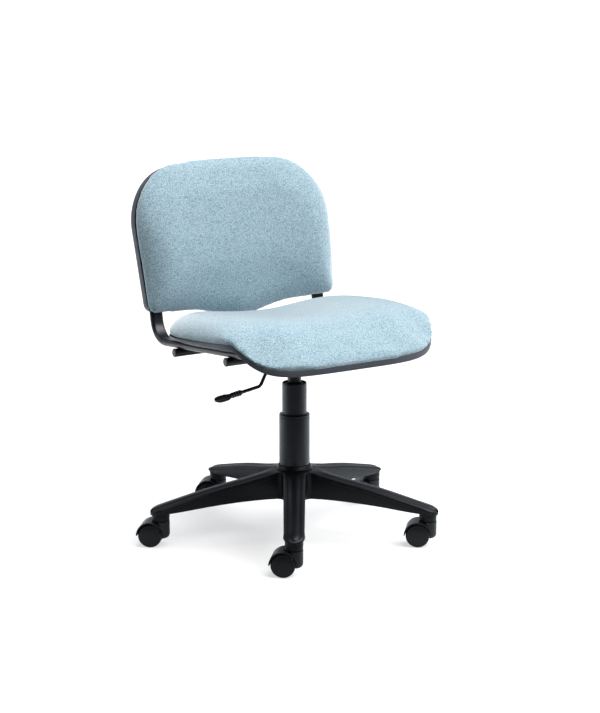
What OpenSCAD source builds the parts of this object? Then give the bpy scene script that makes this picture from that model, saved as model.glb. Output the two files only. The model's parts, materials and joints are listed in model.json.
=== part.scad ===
// Swivel task chair: five-arm castor base, gas lift column, seat plate with
// release lever, oval-tube seat frame, upholstered seat and back.
// Origin: on the column axis at floor level. +Z is up, the sitter faces -Y,
// the sitter's right hand is at -X.

/* [Base] */
// Radius of the circle through the castor stems
stem_circle_r = 280; // [250:1:320]
// Turn of the base about the column, measured from the seat's forward direction
base_turn = -34; // [-36:1:36]
// Width of an arm next to the hub
arm_w_hub = 45; // [36:1:54]
// Width of an arm at its rounded tip
arm_w_tip = 40; // [38:1:46]
// Diameter of the central hub
hub_d = 72; // [66:1:84]
// Height of the top face of the hub above the floor
hub_top = 146; // [142:1:162]
// Diameter of the round boss under each arm tip
boss_d = 35.4; // [32:0.1:38]
// Height of the lower face of that boss above the floor
boss_z = 52; // [51.8:0.1:53]

/* [Castors] */
// Wheel diameter
wheel_d = 48; // [44:1:49]
// Width of one wheel
wheel_w = 15.5; // [13:0.5:17]
// Horizontal distance from the stem axis to the wheel axle
castor_offset = 19; // [17:0.5:21]
// Outer radius of the hood over the wheels
hood_r = 27.5; // [26.5:0.5:27.5]
// Thickness of the web between the two wheels
web_t = 14; // [13:0.5:15]
// Direction in which all castors trail, degrees from +X
trail_dir = 138; // [0:1:359]

/* [Gas lift] */
// Outer diameter of the column tube
column_d = 50; // [48:1:52]
// Height of the top edge of the column tube
column_top = 315; // [300:1:330]
// Diameter of the pressure cylinder
cylinder_d = 28; // [27:0.5:30]
// Piston rod diameter
rod_d = 10; // [8:1:10]
// Diameter of the loose lower cover
cover_d = 62; // [58:1:66]
// Height of the top edge of the lower cover
cover_top = 250.5; // [230:0.5:270]

/* [Seat] */
// Backward tilt of the seat
seat_tilt = 4.5; // [3:0.5:6]
// Height of the underside of the side tubes over the column axis
frame_z = 397.5; // [392:0.5:402]
// Half width of the seat shell
seat_half_w = 239; // [228:1:248]
// Distance of the seat's front edge in front of the column axis
seat_front = 216; // [206:1:226]
// Distance of the seat's rear edge behind the column axis
seat_rear = 190; // [180:1:200]
// How far the front edge drops below the side edges
front_drop = 54; // [44:1:60]
// Crown height of the seat pad above the shell edge
seat_crown = 36; // [28:1:44]
// Radius of the shallow hollow along the middle of the seat pad
dish_r = 1100; // [900:20:2000]

/* [Back] */
// Backward lean of the back
back_tilt = 12.5; // [10:0.5:16]
// Half width of the back
back_half_w = 228; // [220:1:240]
// Height of the back above its reference point on the tubes
back_top = 298; // [280:1:315]
// How much narrower the back is at the bottom, on each side
back_taper = 5; // [0:1:14]
// Radius of the back's upper corners
corner_r = 110; // [90:1:120]
// Radius of the sideways wrap of the back
wrap_r = 1250; // [1000:10:1600]
// Thickness of the back pad in front of its board
back_pad_t = 40; // [32:1:46]

/* [Frame tubes] */
// Width of the flat-oval tube, across the chair
oval_w = 28; // [26:1:32]
// Thickness of the flat-oval tube
oval_t = 14; // [13:1:15]
// Distance of each tube's centre line from the middle of the chair
tube_x = 198; // [190:1:200]
// Bend radius of the tube's centre line
bend_r = 45; // [40:1:55]
// Diameter of the cross bars under the tubes
bar_d = 17; // [15:0.5:18]
// Wall thickness of all tubes
wall = 1.5; // [1.2:0.1:2]

/* [Hidden] */
$fn = 64;

nylon = "#26282c";
plastic = "#35373c";
steel = "#8f9398";
black_paint = "#1c1d20";
fabric = "#a9c9d6";
timber = "#c9a878";
brass_c = "#b39a5a";

// ---- small helpers -------------------------------------------------------

// tube or rod bend: starts at the origin along +Z and turns towards +X
module bend(r, a) {
    translate([r, 0, 0]) mirror([1, 0, 0]) rotate([90, 0, 0])
        rotate_extrude(angle = a, $fn = 96) translate([r, 0]) children();
}
// moves its children to the end of such a bend
module after_bend(r, a) {
    translate([r - r * cos(a), 0, r * sin(a)]) rotate([0, a, 0]) children();
}
module ring(ro, ri, z0, z1) {
    translate([0, 0, z0]) difference() {
        cylinder(r = ro, h = z1 - z0);
        translate([0, 0, -1]) cylinder(r = ri, h = z1 - z0 + 2);
    }
}
// the seat assembly's tilted frame; its floor is the underside of the tubes
module seat_frame() {
    translate([0, 0, frame_z]) rotate([-seat_tilt, 0, 0]) children();
}

// ---- base ----------------------------------------------------------------

arm_angle = [for (k = [0:4]) -90 + base_turn + 72 * k];
// height of the arm's ridge and of its lower edge, by distance from the column
arm_top = [[0, 137], [44, 136], [66, 131.5], [104, 122.6], [142, 114.8], [197, 102.2],
    [240, 92.4], [270, 85.5], [286, 81.2], [295, 77.2], [301, 72.4]];
arm_bottom = [[301, 68], [262, 67.5], [238, 69.6], [215, 72], [190, 74.6], [166, 76.6],
    [140, 78.4], [116, 79.5], [91, 80.2], [60, 80.4], [0, 79.4]];

// plan of one arm along +X with a semicircular tip; inset moves all edges in
module arm_plan(inset) {
    polygon([[0, -arm_w_hub / 2 + inset], [stem_circle_r, -arm_w_tip / 2 + inset],
             [stem_circle_r, arm_w_tip / 2 - inset], [0, arm_w_hub / 2 - inset]]);
    translate([stem_circle_r, 0]) circle(r = arm_w_tip / 2 - inset);
}
module arm_side(top_cut, bottom_cut) {
    rotate([90, 0, 0]) translate([0, 0, -60]) linear_extrude(120)
        polygon(concat([for (p = arm_top) [p[0], p[1] - top_cut]],
                       [for (p = arm_bottom) [p[0], p[1] - bottom_cut]]));
}
module star_arm() {
    difference() {
        intersection() {
            linear_extrude(160) arm_plan(0);
            arm_side(0, 0);
        }
        // hollow from below, closed at the top and towards the boss
        intersection() {
            translate([30, -40, 0]) cube([stem_circle_r - 30 - boss_d / 2 + 2, 80, 160]);
            linear_extrude(160) arm_plan(4);
            arm_side(5, 20);
        }
    }
    // cross ribs inside the hollow
    for (r = [86, 126, 166, 206])
        intersection() {
            translate([r, -40, 0]) cube([3, 80, 160]);
            linear_extrude(160) arm_plan(2);
            arm_side(2, -4);
        }
    // boss for the castor stem
    translate([stem_circle_r, 0, boss_z]) cylinder(d = boss_d, h = 22);
}
module star_base() {
    color(nylon) difference() {
        union() {
            for (a = arm_angle) rotate(a) star_arm();
            translate([0, 0, 78]) cylinder(d = hub_d, h = hub_top - 5 - 78);
            translate([0, 0, 100]) cylinder(d = hub_d - 4.6, h = hub_top - 100);
        }
        // tapered seat of the column, then clearance above it
        translate([0, 0, 60]) cylinder(r = 23.8, h = 16.01);
        translate([0, 0, 76]) cylinder(r1 = 23.8, r2 = column_d / 2, h = 58);
        translate([0, 0, 133.99]) cylinder(r = column_d / 2 + 0.8, h = 40);
        for (a = arm_angle) rotate(a) translate([stem_circle_r, 0, 0]) {
            translate([0, 0, 40]) cylinder(d = 14, h = 38.6);
            translate([0, 0, 40]) cylinder(d = 22, h = boss_z + 1.2 - 40);
        }
    }
}
// steel sleeves pressed into the bosses; the castor stems turn in them
module stem_sleeves() {
    color(steel) for (a = arm_angle) rotate(a) translate([stem_circle_r, 0, 0])
        difference() {
            union() {
                translate([0, 0, boss_z]) cylinder(d = 22, h = 1.2);
                translate([0, 0, boss_z]) cylinder(d = 14, h = 78.6 - boss_z);
            }
            translate([0, 0, 40]) cylinder(r = 5.06, h = 60);
            translate([0, 0, 73]) cylinder(r = 6.1, h = 10);
        }
}

// ---- column --------------------------------------------------------------

module column_tube() {
    color(black_paint) difference() {
        union() {
            translate([0, 0, 70]) cylinder(r = 23.8, h = 6.01);
            translate([0, 0, 76]) cylinder(r1 = 23.8, r2 = column_d / 2, h = 58);
            translate([0, 0, 134]) cylinder(d = column_d, h = column_top - 134 - 1.5);
            translate([0, 0, column_top - 1.5])
                cylinder(r1 = column_d / 2, r2 = column_d / 2 - 1.5, h = 1.5);
        }
        translate([0, 0, 60]) cylinder(r = 22.3, h = column_top);
    }
}
neck_d = 8;
// steel end plate of the column tube, with the bearing hole for the rod's neck
module tube_base_cap() {
    color(steel) ring(22.3, neck_d / 2 + 0.05, 70, 74);
}
// plastic sleeve that guides the pressure cylinder
module guide_bush() {
    color(nylon) ring(22.3, cylinder_d / 2 + 0.05, column_top - 80, column_top - 1);
}
module lower_cover() {
    color(plastic) rotate_extrude($fn = 96) polygon([
        [cover_d / 2 - 2.2, hub_top], [cover_d / 2, hub_top], [cover_d / 2, cover_top - 2],
        [cover_d / 2 - 1.8, cover_top], [column_d / 2 + 0.8, cover_top],
        [column_d / 2 + 0.8, cover_top - 3], [cover_d / 2 - 2.2, cover_top - 4]]);
}
// two races with a ring of balls between them
module thrust_bearing() {
    color(steel) {
        ring(14, neck_d / 2 + 0.3, 74, 75.6);
        ring(14, neck_d / 2 + 0.3, 79.4, 81);
        for (a = [0:36:324]) rotate(a) translate([10, 0, 77.5]) sphere(d = 3.7, $fn = 24);
    }
}
module bump_stop() {
    color(nylon) ring(16, rod_d / 2 + 0.8, 81, 88);
}
// rod: its shoulder stands on the bearing, its neck passes through the end plate
// and is held below it by the clip
module piston_rod() {
    color(steel) difference() {
        union() {
            translate([0, 0, 62]) cylinder(d = neck_d, h = 20);
            translate([0, 0, 81]) cylinder(d = rod_d, h = 145);
        }
        ring(10, neck_d / 2 - 0.8, 66, 67.6);
    }
}
module rod_clip() {
    color(steel) ring(7.5, neck_d / 2 - 0.8, 66, 67.6);
}
module piston_head() {
    color(brass_c) translate([0, 0, 216]) difference() {
        union() {
            cylinder(r = cylinder_d / 2 - 2.1, h = 5);
            cylinder(r = cylinder_d / 2 - 4, h = 14);
            translate([0, 0, 9]) cylinder(r = cylinder_d / 2 - 2.1, h = 5);
        }
        translate([0, 0, -1]) cylinder(d = rod_d, h = 11);
    }
}
// steel pressure cylinder: closed taper end up, inside the seat's socket
cyl_bottom = 106;
cyl_top = 381;
taper_z = 339;
module pressure_cylinder() {
    color("#23252a") difference() {
        union() {
            translate([0, 0, cyl_bottom]) cylinder(d = cylinder_d, h = taper_z - cyl_bottom);
            translate([0, 0, taper_z]) cylinder(r1 = cylinder_d / 2, r2 = cylinder_d / 2 - 0.8, h = cyl_top - taper_z);
        }
        translate([0, 0, cyl_bottom - 1]) cylinder(r = cylinder_d / 2 - 2, h = cyl_top - cyl_bottom - 9);
        translate([0, 0, cyl_bottom]) cylinder(r = 4.06, h = 400);
    }
}
module rod_seal() {
    color(nylon) ring(cylinder_d / 2 - 2, rod_d / 2 + 0.06, cyl_bottom, cyl_bottom + 10);
}
// valve block under the closed end; the release pin slides in it
module valve_body() {
    color(brass_c) ring(cylinder_d / 2 - 2, 4.06, 345, cyl_top - 10);
}
pin_top = 388;
pivot_x = -21;
module release_pin() {
    color(steel) {
        translate([0, 0, 350]) cylinder(d = 8, h = pin_top - 350 - 1);
        translate([0, 0, pin_top - 1]) cylinder(r1 = 4, r2 = 3, h = 1);
    }
}

// ---- seat mechanism ------------------------------------------------------

bar_w = -bar_d / 2 + 0.4;
bar_front_v = -85;
bar_rear_v = 108;
seat_bolt_v = [-40, 62];
plate_half = 40;
plate_w = bar_w - bar_d / 2;

module in_bar(v) {
    translate([0, v, bar_w]) rotate([0, 90, 0]) children();
}
module mechanism_plate() {
    color(black_paint) difference() {
        union() {
            seat_frame() {
                // pressed plate with two turned-down flanges
                translate([-plate_half, bar_front_v - 16, plate_w - 3])
                    cube([2 * plate_half, bar_rear_v - bar_front_v + 32, 3]);
                for (s = [-1, 1])
                    translate([s > 0 ? plate_half - 3 : -plate_half, bar_front_v - 16, plate_w - 17])
                        cube([3, bar_rear_v - bar_front_v + 32, 14.01]);
                // cradles for the cross bars
                for (v = [bar_front_v, bar_rear_v])
                    translate([-plate_half, v - 12, plate_w - 0.01]) cube([2 * plate_half, 24, 5.5]);
            }
            // ears of the lever pivot, welded upright into the plate
            for (s = [-1, 1]) {
                translate([pivot_x, s * 6 - 1.5, lever_z]) rotate([-90, 0, 0]) cylinder(r = 5.6, h = 3);
                translate([pivot_x - 5.5, s * 6 - 1.5, lever_z - 13.5]) cube([11, 3, 13.5]);
            }
        }
        seat_frame() for (v = [bar_front_v, bar_rear_v])
            in_bar(v) translate([0, 0, -60]) cylinder(d = bar_d, h = 120);
        // vertical hole for the socket
        translate([0, 0, 300]) cylinder(r = 20, h = 83);
        // hole for the pivot pin
        translate([pivot_x, -20, lever_z]) rotate([-90, 0, 0]) cylinder(d = 5, h = 40);
    }
}
// socket with the female taper, welded into the plate
module taper_socket() {
    color(black_paint) difference() {
        translate([0, 0, 335]) cylinder(r = 20, h = 45);
        translate([0, 0, 334]) cylinder(d = cylinder_d, h = taper_z - 334 + 0.01);
        translate([0, 0, taper_z]) cylinder(r1 = cylinder_d / 2, r2 = cylinder_d / 2 - 0.8, h = cyl_top - taper_z);
    }
}

// ---- release lever -------------------------------------------------------

lever_z = 392.5;
nose_r = 4.8;
module lever_pivot_pin() {
    color(steel) {
        translate([pivot_x, -7.5, lever_z]) rotate([-90, 0, 0]) cylinder(d = 5, h = 15);
        for (y = [-9, 7.5]) translate([pivot_x, y, lever_z]) rotate([-90, 0, 0]) cylinder(d = 7, h = 1.5);
    }
}
// flat arm: round nose over the release pin, pivot eye, socket for the rod
module lever_arm() {
    color(black_paint) difference() {
        union() {
            translate([0, -4, pin_top + 0.2 + nose_r]) rotate([-90, 0, 0]) cylinder(r = nose_r, h = 8);
            translate([pivot_x, -4, pin_top + 1]) cube([-pivot_x, 8, 7.5]);
            translate([pivot_x, -4, lever_z]) rotate([-90, 0, 0]) cylinder(r = 5.5, h = 8);
            translate([pivot_x - 12, -4, lever_z - 5]) cube([8, 8, 10]);
            translate([pivot_x - 6, -4, lever_z - 4.5]) cube([6, 8, 9]);
        }
        translate([pivot_x, -10, lever_z]) rotate([-90, 0, 0]) cylinder(d = 5.1, h = 20);
        translate([pivot_x - 13, 0, lever_z]) rotate([0, 90, 0]) cylinder(d = 7, h = 8);
    }
}
// rod: out to the side, down, out again
rod_r = 12;
rod_down = 62;
rod_up = 53;
rod_run = 72.9;
module rod_path() {
    translate([pivot_x - 5, 0, lever_z]) mirror([0, 0, 1]) rotate([0, -90, 0]) children();
}
module lever_rod() {
    color(black_paint) rod_path() {
        cylinder(d = 7, h = 8.4);
        translate([0, 0, 8]) {
            bend(rod_r, rod_down) circle(d = 6.9, $fn = 48);
            after_bend(rod_r, rod_down) {
                translate([0, 0, -0.4]) cylinder(d = 7, h = rod_run + 0.8);
                translate([0, 0, rod_run]) mirror([1, 0, 0]) {
                    bend(rod_r, rod_up) circle(d = 6.9, $fn = 48);
                    after_bend(rod_r, rod_up) translate([0, 0, -0.4]) cylinder(d = 7, h = 72.4);
                }
            }
        }
    }
}
module handle_frame() {
    rod_path() translate([0, 0, 8]) after_bend(rod_r, rod_down)
        translate([0, 0, rod_run]) mirror([1, 0, 0]) after_bend(rod_r, rod_up)
            translate([0, 0, 40]) children();
}
// plastic handle: ribbed sleeve running out into a flat paddle
module lever_handle() {
    color(plastic) handle_frame() rotate(-12) difference() {
        union() {
            cylinder(d = 10.5, h = 35);
            for (i = [0:4]) translate([0, 0, 2 + i * 6]) cylinder(d = 12.5, h = 3.5);
            translate([-2.8, 0, 30]) rotate([0, 90, 0]) linear_extrude(5.6) {
                translate([-17, -11.5]) square([17, 23]);
                translate([-17, 0]) circle(d = 23);
            }
        }
        translate([0, 0, -1]) cylinder(d = 7, h = 33);
    }
}

// ---- cross bars and side tubes -------------------------------------------

bar_half = 213;
module crossbar(v) {
    color(black_paint) seat_frame() difference() {
        in_bar(v) difference() {
            translate([0, 0, -bar_half]) cylinder(d = bar_d, h = 2 * bar_half);
            translate([0, 0, -bar_half - 1]) cylinder(d = bar_d - 2 * wall, h = 2 * bar_half + 2);
        }
        // flats where the side tubes rest
        for (s = [-1, 1]) translate([s * tube_x - 25, v - 20, 0]) cube([50, 40, 10]);
    }
}
module crossbars() {
    crossbar(bar_front_v);
    crossbar(bar_rear_v);
}
// domed plastic caps in the four bar ends
module crossbar_caps() {
    color(plastic) seat_frame() for (v = [bar_front_v, bar_rear_v]) for (s = [-1, 1])
        in_bar(v) mirror([0, 0, s > 0 ? 0 : 1]) translate([0, 0, bar_half]) {
            translate([0, 0, -6]) cylinder(d = bar_d - 2 * wall, h = 6);
            cylinder(d = bar_d + 0.6, h = 2.5);
            translate([0, 0, 2.5]) cylinder(d1 = bar_d + 0.6, d2 = bar_d - 4, h = 1.5);
        }
}

module oval(w, t) {
    square([w - t, t], center = true);
    for (s = [-1, 1]) translate([s * (w - t) / 2, 0]) circle(d = t, $fn = 48);
}
// the tube runs back under the seat, then turns up into the back
lean = back_tilt - seat_tilt;
turn = 90 - lean;
tube_front_v = -130;
// the post's centre line passes this point (side view, whole chair's frame)
post_y = 209;
post_z = 446.7;
// the same point in the seat frame
post_v = post_y * cos(seat_tilt) - (post_z - frame_z) * sin(seat_tilt);
post_w = post_y * sin(seat_tilt) + (post_z - frame_z) * cos(seat_tilt);
// corner where the two centre lines meet, and the run up to the bend
corner_v = post_v - (post_w - oval_t / 2) * tan(lean);
setback = bend_r * tan(turn / 2);
run_len = corner_v - setback - tube_front_v;
post_len = 195;
// starts at the tube's front end with +Z along the tube and +X upwards
module tube_start(s) {
    seat_frame() translate([s * tube_x, tube_front_v, oval_t / 2])
        rotate([-90, 0, 0]) rotate([0, 0, -90]) children();
}
// filled shape of the bent tube; cut is the wall taken off all round, extra the
// length added at both ends. The bend is a hair slimmer than the straight runs.
module tube_body(s, cut, extra) {
    w = oval_w - 2 * cut;
    t = oval_t - 2 * cut;
    tube_start(s) {
        translate([0, 0, -extra]) linear_extrude(run_len + 1 + extra) rotate(90) oval(w, t);
        translate([0, 0, run_len]) {
            bend(bend_r, turn) rotate(90) oval(w - 0.1, t - 0.1);
            after_bend(bend_r, turn) translate([0, 0, -1])
                linear_extrude(post_len + 1 + extra) rotate(90) oval(w, t);
        }
    }
}
module side_tube(s) {
    color(black_paint) difference() {
        tube_body(s, 0, 0);
        tube_body(s, wall, 1);
        // seat bolts: access holes below, clearance holes above
        seat_frame() for (v = seat_bolt_v) translate([s * tube_x, v, -5]) {
            cylinder(d = 14, h = 8);
            cylinder(d = 8.4, h = 40);
        }
        for (h = back_bolt_h) back_frame() translate([s * tube_x, -30, h])
            rotate([-90, 0, 0]) cylinder(d = 6.4, h = 60);
    }
}
module side_tube_right() { side_tube(-1); }
module side_tube_left() { side_tube(1); }
module tube_end_plugs() {
    color(plastic) for (s = [-1, 1]) tube_start(s) rotate(90) {
        translate([0, 0, -2]) linear_extrude(2) oval(oval_w, oval_t);
        linear_extrude(8) oval(oval_w - 2 * wall, oval_t - 2 * wall);
    }
}

// ---- seat ----------------------------------------------------------------

seat_mid = -66;
// plan outline, superelliptic, rounder in front than behind
function seat_outline(inset) = [for (i = [0:95]) let (a = i * 3.75,
    c = cos(a), s = sin(a),
    n = s < 0 ? 3.3 : 3.8,
    w = seat_half_w - inset,
    b = (s < 0 ? seat_front + seat_mid : seat_rear - seat_mid) - inset)
    [w * sign(c) * pow(abs(c), 2 / n), seat_mid + b * sign(s) * pow(abs(s), 2 / n)]];
// height of the shell's lower edge over the tubes' underside, by v
shell_w = oval_t + 3;
drop_v = -131;
function drop(v) = v >= drop_v ? 0 :
    let (u = pow((drop_v - v) / (seat_front + drop_v), 0.85)) front_drop * min(1.12, u * u * (3 - 2 * u) + (u > 1 ? (u - 1) * 3 : 0));
seat_v = [for (i = [0:16]) -seat_front - 6 + i * (seat_front + 6 + drop_v) / 16];
// band between two heights that follows the seat's side profile
module seat_band(w0, w1) {
    rotate([90, 0, 90]) translate([0, 0, -260]) linear_extrude(520)
        polygon(concat([[seat_rear + 10, w1]], [for (i = [16:-1:0]) [seat_v[i], w1 - drop(seat_v[i])]],
                       [for (i = [0:16]) [seat_v[i], w0 - drop(seat_v[i])]], [[seat_rear + 10, w0]]));
}
module seat_slab(inset, w0, w1) {
    intersection() {
        translate([0, 0, -90]) linear_extrude(220) polygon(seat_outline(inset));
        seat_band(w0, w1);
    }
}
edge_w = oval_t + 7;
// plastic outer shell: shallow dish with an upstanding edge
module seat_shell() {
    color(plastic) seat_frame() difference() {
        union() {
            seat_slab(0, edge_w, edge_w + 12);
            seat_slab(16, oval_t, edge_w + 0.01);
        }
        seat_slab(3, edge_w + 2.5, edge_w + 30);
        for (v = seat_bolt_v) for (s = [-1, 1])
            translate([s * tube_x, v, 0]) cylinder(d = 8.4, h = 60);
    }
}
// moulded plywood under the pad
module seat_board() {
    color(timber) seat_frame() difference() {
        seat_slab(3.2, edge_w + 2.5, edge_w + 12);
        for (v = seat_bolt_v) for (s = [-1, 1])
            translate([s * tube_x, v, 0]) cylinder(d = 10, h = 60);
    }
}
// pad layer between two heights; rear is how far it stays off the rear edge
module pad_layer(inset, rear, w0, w1) {
    intersection() {
        seat_slab(inset, edge_w + 12 + w0 * seat_crown, edge_w + 12 + w1 * seat_crown);
        translate([-300, -300, -100]) cube([600, 300 + seat_rear - rear, 300]);
    }
}
module seat_cushion() {
    color(fabric) seat_frame() difference() {
        union() {
            pad_layer(2, 2, 0, 0.09);
            pad_layer(-3, 1, 0.08, 0.4);
            pad_layer(4, 8, 0.39, 0.66);
            pad_layer(12, 18, 0.65, 0.86);
            pad_layer(26, 34, 0.85, 1);
        }
        // hollowed along the middle, deeper towards the back
        translate([0, 0, edge_w + 12 + seat_crown - 12 + dish_r]) rotate([90 - 1.6, 0, 0])
            cylinder(r = dish_r, h = 700, center = true, $fn = 300);
    }
}
// four bolts, heads inside the tubes, up through the shell into nuts in the board
module seat_bolts() {
    color(steel) seat_frame() for (v = seat_bolt_v) for (s = [-1, 1])
        translate([s * tube_x, v, 0]) {
            translate([0, 0, oval_t - wall - 5]) cylinder(d = 12, h = 5);
            translate([0, 0, oval_t - wall - 5]) cylinder(d = 8, h = edge_w + 3 - oval_t + wall + 5);
            translate([0, 0, edge_w + 2.5]) cylinder(d = 10, h = 9.5);
        }
}

// ---- back ----------------------------------------------------------------

back_bolt_h = [60, 130];
// x across, y rearwards square to the back, z up along it
module back_frame() {
    translate([0, post_y, post_z]) rotate([-back_tilt, 0, 0]) children();
}
part_n = 5.5;
// front outline of the back; inset moves all edges in
module back_outline(inset) {
    w = back_half_w - inset;
    wb = back_half_w - back_taper - inset;
    rt = corner_r - inset;
    rb = max(22 - inset, 8);
    yt = back_top - 8 - corner_r;
    yb = 30;
    difference() {
        union() {
            polygon([[-w, yt], [-wb, yb], [wb, yb], [w, yt]]);
            for (s = [-1, 1]) {
                translate([s * (w - rt), yt]) circle(r = rt);
                translate([s * (wb - rb), yb]) circle(r = rb);
            }
            translate([-(w - rt), yt - 20]) square([2 * (w - rt), back_top - yt + 20 - inset]);
            translate([-(wb - rb), -28 + inset]) square([2 * (wb - rb), 80]);
        }
        // gently arched top edge
        difference() {
            translate([-300, back_top - 60]) square([600, 120]);
            translate([0, back_top - 1400 - inset]) circle(r = 1400, $fn = 200);
        }
        // bottom edge, lowest in the middle
        difference() {
            translate([-300, -80]) square([600, 110]);
            translate([0, -22.6 + 860 + inset]) circle(r = 860, $fn = 200);
        }
    }
}
// layer of the wrapped back, between two distances behind the parting face
module back_layer(inset, n0, n1) {
    intersection() {
        translate([0, 120, 0]) rotate([90, 0, 0]) linear_extrude(240) back_outline(inset);
        translate([0, part_n - wrap_r, -60]) difference() {
            cylinder(r = wrap_r + n1, h = 460, $fn = 360);
            translate([0, 0, -1]) cylinder(r = wrap_r + n0, h = 462, $fn = 360);
        }
        translate([-300, -100, -60]) cube([600, 200, 460]);
    }
}
module back_shell() {
    color(plastic) back_frame() difference() {
        union() {
            back_layer(0, 0, 17);
            back_layer(8, 16.99, 24);
        }
        back_layer(3, -5, 14.5);
        back_layer(11, 14, 21);
        // openings in the lower edge where the posts come in
        for (s = [-1, 1]) translate([s * tube_x - oval_w / 2 - 2, -30, -30]) cube([oval_w + 4, 30 + oval_t / 2 + 2, 90]);
    }
}
module back_board() {
    color(timber) back_frame() difference() {
        back_layer(6, -9, 0);
        for (s = [-1, 1]) for (h = back_bolt_h) translate([s * tube_x, -40, h])
            rotate([-90, 0, 0]) cylinder(d = 8, h = 80);
    }
}
module back_cushion() {
    color(fabric) back_frame() {
        back_layer(3, -9 - back_pad_t * 0.22, -9);
        back_layer(9, -9 - back_pad_t * 0.48, -9 - back_pad_t * 0.21);
        back_layer(20, -9 - back_pad_t * 0.78, -9 - back_pad_t * 0.47);
        back_layer(42, -9 - back_pad_t, -9 - back_pad_t * 0.77);
    }
}
// shaped pads between the flat posts and the curved board
module back_pads() {
    color(nylon) back_frame() for (s = [-1, 1]) difference() {
        translate([s * tube_x - 12, -20, 40]) cube([24, 20 - oval_t / 2, 110]);
        translate([s * tube_x, part_n - wrap_r + sqrt(wrap_r * wrap_r - tube_x * tube_x) + 0.02, 30])
            rotate(-s * asin(tube_x / wrap_r)) translate([-30, -30, 0]) cube([60, 30, 140]);
        for (h = back_bolt_h) translate([s * tube_x, -40, h])
            rotate([-90, 0, 0]) cylinder(d = 6.4, h = 80);
    }
}
module back_bolts() {
    color(steel) back_frame() for (s = [-1, 1]) for (h = back_bolt_h)
        translate([s * tube_x, 0, h]) rotate([-90, 0, 0]) {
            translate([0, 0, oval_t / 2]) cylinder(d = 11, h = 1.6);
            translate([0, 0, -14]) cylinder(d = 6, h = 14 + oval_t / 2);
            translate([0, 0, -16]) cylinder(d = 8, h = 5);
        }
}

// ---- castors -------------------------------------------------------------

module at_castor(k) {
    rotate(arm_angle[k - 1]) translate([stem_circle_r, 0, 0]) rotate(trail_dir - arm_angle[k - 1])
        children();
}
module along_axle() {
    translate([castor_offset, 0, wheel_d / 2]) rotate([90, 0, 0]) children();
}
hood_half = 23;
module castor_hood(k) {
    color(nylon) at_castor(k) difference() {
        union() {
            // round housing of the stem
            rotate_extrude() polygon(concat([[0, 16]],
                [for (a = [-90:10:0]) [8.7 + 9 * cos(a), 25 + 9 * sin(a)]],
                [[17.7, 50.5], [0, 50.5]]));
            // hood, from the trailing side over the top
            difference() {
                along_axle() rotate(70) translate([0, 0, -hood_half]) cylinder(r = hood_r, h = 2 * hood_half);
                translate([-60, -40, -30]) cube([120, 80, wheel_d / 2 + 30]);
                translate([-60, -40, 20]) cube([60, 80, 60]);
            }
            // web between the wheels
            along_axle() translate([0, 0, -web_t / 2 + 0.15]) cylinder(r = 19, h = web_t - 0.3);
            translate([0, -web_t / 2 + 0.15, 20]) cube([castor_offset, web_t - 0.3, 24]);
        }
        for (s = [-1, 1]) along_axle() rotate(50) translate([0, 0, s > 0 ? web_t / 2 : -40 - web_t / 2])
            cylinder(r = wheel_d / 2 + 1.3, h = 40);
        translate([0, 0, 24]) cylinder(d = 10, h = 40);
        along_axle() translate([0, 0, -20]) cylinder(d = 6, h = 40);
    }
}
module castor_stem(k) {
    color(steel) at_castor(k) {
        translate([0, 0, 24]) cylinder(d = 10, h = 51.7);
        translate([0, 0, 75.7]) cylinder(d1 = 10, d2 = 7, h = 1.5);
        translate([0, 0, 50.5]) cylinder(d = 17, h = boss_z - 50.6);
        translate([0, 0, 73.5]) cylinder(d = 11.2, h = 1.4);
    }
}
// s = 1 is the wheel on the local +Y side
module castor_wheel(k, s) {
    r = wheel_d / 2;
    color(nylon) at_castor(k) along_axle() mirror([0, 0, s > 0 ? 1 : 0])
        translate([0, 0, web_t / 2 + 0.4]) difference() {
            rotate_extrude($fn = 72) {
                translate([0, 0]) square([r - 1.5, wheel_w - 1.2]);
                translate([0, 1.5]) square([r, wheel_w - 4.5]);
                translate([r - 1.5, 1.5]) circle(r = 1.5, $fn = 24);
                translate([r - 3, wheel_w - 3]) circle(r = 3, $fn = 32);
                square([r - 3, wheel_w]);
            }
            translate([0, 0, -1]) cylinder(r = 3.05, h = 13);
            translate([0, 0, -1]) ring(r - 4, 7, 0, 7);
        }
}
module castor_axle(k) {
    color(steel) at_castor(k) along_axle()
        translate([0, 0, -web_t / 2 - 12]) cylinder(d = 6, h = web_t + 24);
}

// ---- assembly ------------------------------------------------------------

star_base();
stem_sleeves();
column_tube();
guide_bush();
tube_base_cap();
lower_cover();
thrust_bearing();
bump_stop();
piston_rod();
piston_head();
rod_clip();
pressure_cylinder();
rod_seal();
valve_body();
release_pin();
mechanism_plate();
taper_socket();
lever_pivot_pin();
lever_arm();
lever_rod();
lever_handle();
crossbars();
crossbar_caps();
side_tube_right();
side_tube_left();
tube_end_plugs();
seat_bolts();
seat_shell();
seat_board();
seat_cushion();
back_pads();
back_bolts();
back_board();
back_shell();
back_cushion();
castor_hood(1);  // castor_1_hood
castor_stem(1);  // castor_1_stem
castor_axle(1);  // castor_1_axle
castor_wheel(1, -1);  // castor_1_wheel_left
castor_wheel(1, 1);  // castor_1_wheel_right
castor_hood(2);  // castor_2_hood
castor_stem(2);  // castor_2_stem
castor_axle(2);  // castor_2_axle
castor_wheel(2, -1);  // castor_2_wheel_left
castor_wheel(2, 1);  // castor_2_wheel_right
castor_hood(3);  // castor_3_hood
castor_stem(3);  // castor_3_stem
castor_axle(3);  // castor_3_axle
castor_wheel(3, -1);  // castor_3_wheel_left
castor_wheel(3, 1);  // castor_3_wheel_right
castor_hood(4);  // castor_4_hood
castor_stem(4);  // castor_4_stem
castor_axle(4);  // castor_4_axle
castor_wheel(4, -1);  // castor_4_wheel_left
castor_wheel(4, 1);  // castor_4_wheel_right
castor_hood(5);  // castor_5_hood
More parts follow.
